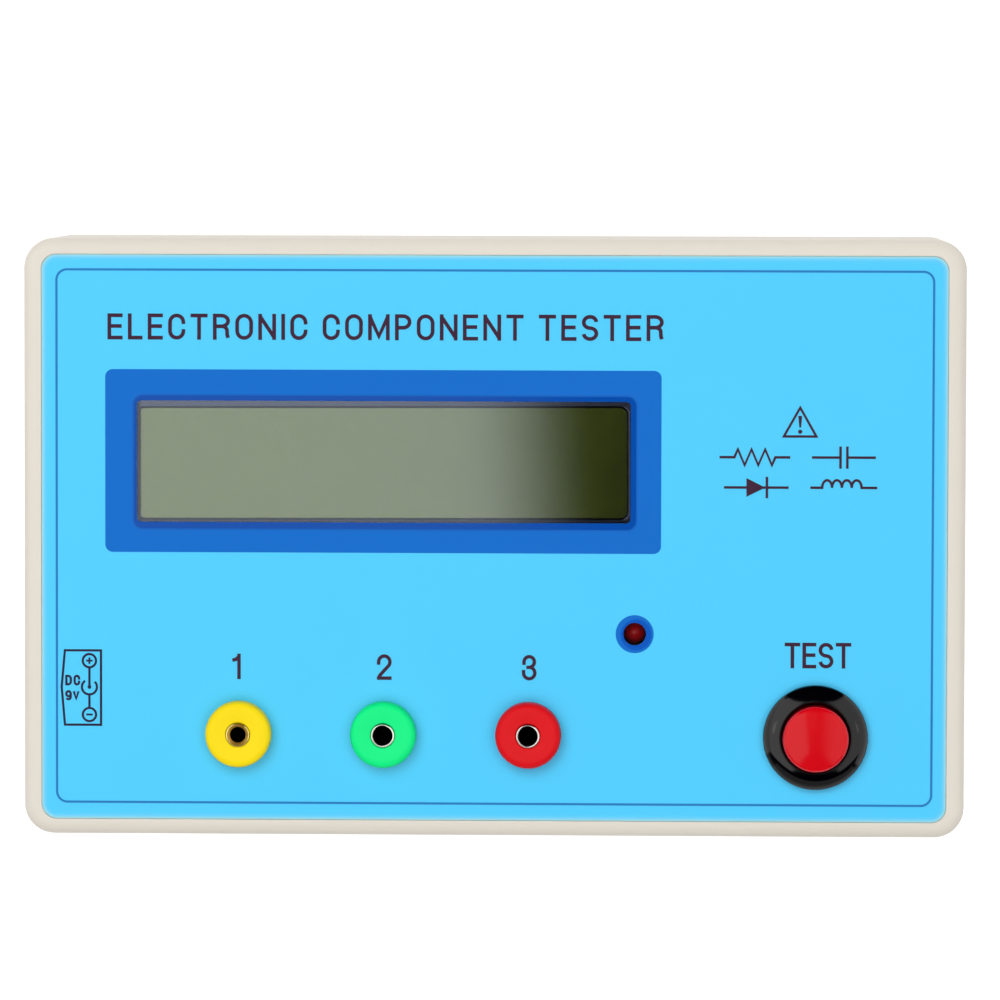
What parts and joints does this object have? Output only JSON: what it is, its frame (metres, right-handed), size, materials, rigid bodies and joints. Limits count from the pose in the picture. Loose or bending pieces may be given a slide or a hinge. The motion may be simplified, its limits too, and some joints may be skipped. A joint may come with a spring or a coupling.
{
  "type": "component tester",
  "caption": "Bench electronic component tester in a shallow two-part case, with a printed film face, a two-line display, coloured pin sockets, a lamp, a push button and a DC inlet.",
  "frame": {"origin": "centre of the case's back face, which the instrument rests on", "axes": "+X along the panel's long side, towards its right end; +Y towards the panel's top edge; +Z out of the front panel"},
  "size_m": [0.1248, 0.0792, 0.0365],
  "materials": {
    "case_plastic": "fine sparked texture, cream",
    "printed_film": "satin printed polycarbonate film, light blue",
    "clear_window": "clear gloss polycarbonate",
    "display_glass": "polarised display cell, dark olive",
    "diffuser": "translucent white acrylic",
    "bezel_steel": "satin black",
    "circuit_board": "green solder mask",
    "black_plastic": "gloss black",
    "yellow_plastic": "satin yellow",
    "green_plastic": "satin green",
    "red_plastic": "satin red",
    "nickel": "bright nickel plate",
    "brass": "plain brass",
    "zinc_steel": "zinc plate",
    "lamp_red": "clear dark red resin",
    "resistor_coat": "light blue lacquer",
    "blue_plastic": "gloss dark blue",
    "battery_jacket": "plain grey foil jacket",
    "red_insulation": "satin red",
    "black_insulation": "satin black"
  },
  "bodies": {
    "case": {"front_cover": "case_plastic", "back_cover": "case_plastic", "front_overlay": "printed_film", "display_window": "clear_window", "case_screw_1": "zinc_steel", "case_screw_2": "zinc_steel", "case_screw_3": "zinc_steel", "case_screw_4": "zinc_steel", "lcd_screw_1": "zinc_steel", "lcd_screw_2": "zinc_steel", "lcd_screw_3": "zinc_steel", "lcd_screw_4": "zinc_steel", "board_screw_1": "zinc_steel", "board_screw_2": "zinc_steel", "test_button_spring": "zinc_steel", "lcd_board": "circuit_board", "main_board": "circuit_board", "lcd_bezel": "bezel_steel", "lcd_glass": "display_glass", "lcd_backlight": "diffuser", "lcd_header_pins": "brass", "test_button_terminal_left": "brass", "test_button_terminal_right": "brass", "dc_jack_contact": "brass", "lcd_header_socket": "black_plastic", "microcontroller": "black_plastic", "voltage_regulator": "black_plastic", "test_button_housing": "black_plastic", "test_button_nut": "black_plastic", "dc_jack_housing": "black_plastic", "battery_clip": "black_plastic", "crystal": "nickel", "dc_jack_centre_pin": "nickel", "filter_capacitor": "blue_plastic", "output_capacitor": "blue_plastic", "contrast_trimmer_body": "blue_plastic", "probe_resistor_1": "resistor_coat", "probe_resistor_2": "resistor_coat", "probe_resistor_3": "resistor_coat", "yellow_socket_insulator": "yellow_plastic", "yellow_socket_lead": "yellow_plastic", "yellow_socket_contact": "nickel", "yellow_socket_nut": "brass", "green_socket_insulator": "green_plastic", "green_socket_lead": "green_plastic", "green_socket_contact": "nickel", "green_socket_nut": "brass", "red_socket_insulator": "red_plastic", "red_socket_lead": "red_plastic", "red_socket_contact": "nickel", "red_socket_nut": "brass", "status_led": "lamp_red", "battery": "battery_jacket", "battery_lead_red": "red_insulation", "test_button_lead_1": "red_insulation", "battery_lead_black": "black_insulation", "test_button_lead_2": "black_insulation"},
    "test_button": {"test_button_cap": "red_plastic", "test_button_bridge": "brass"},
    "contrast_trimmer": {"contrast_trimmer_rotor": "nickel"}
  },
  "joints": [
    {"name": "test_button_press", "type": "slide", "parent": "case", "child": "test_button", "axis": [0, 0, -1], "range_m": [0, 0.0018], "stiffness_N_per_m": 600, "springref_m": -0.002, "deforming": ["test_button_spring"]},
    {"name": "contrast_trim", "type": "hinge", "parent": "case", "child": "contrast_trimmer", "pos_m": [0.0106, -0.0195, 0.0119], "axis": [0, 0, 1], "range_deg": [-105, 105]}
  ]
}
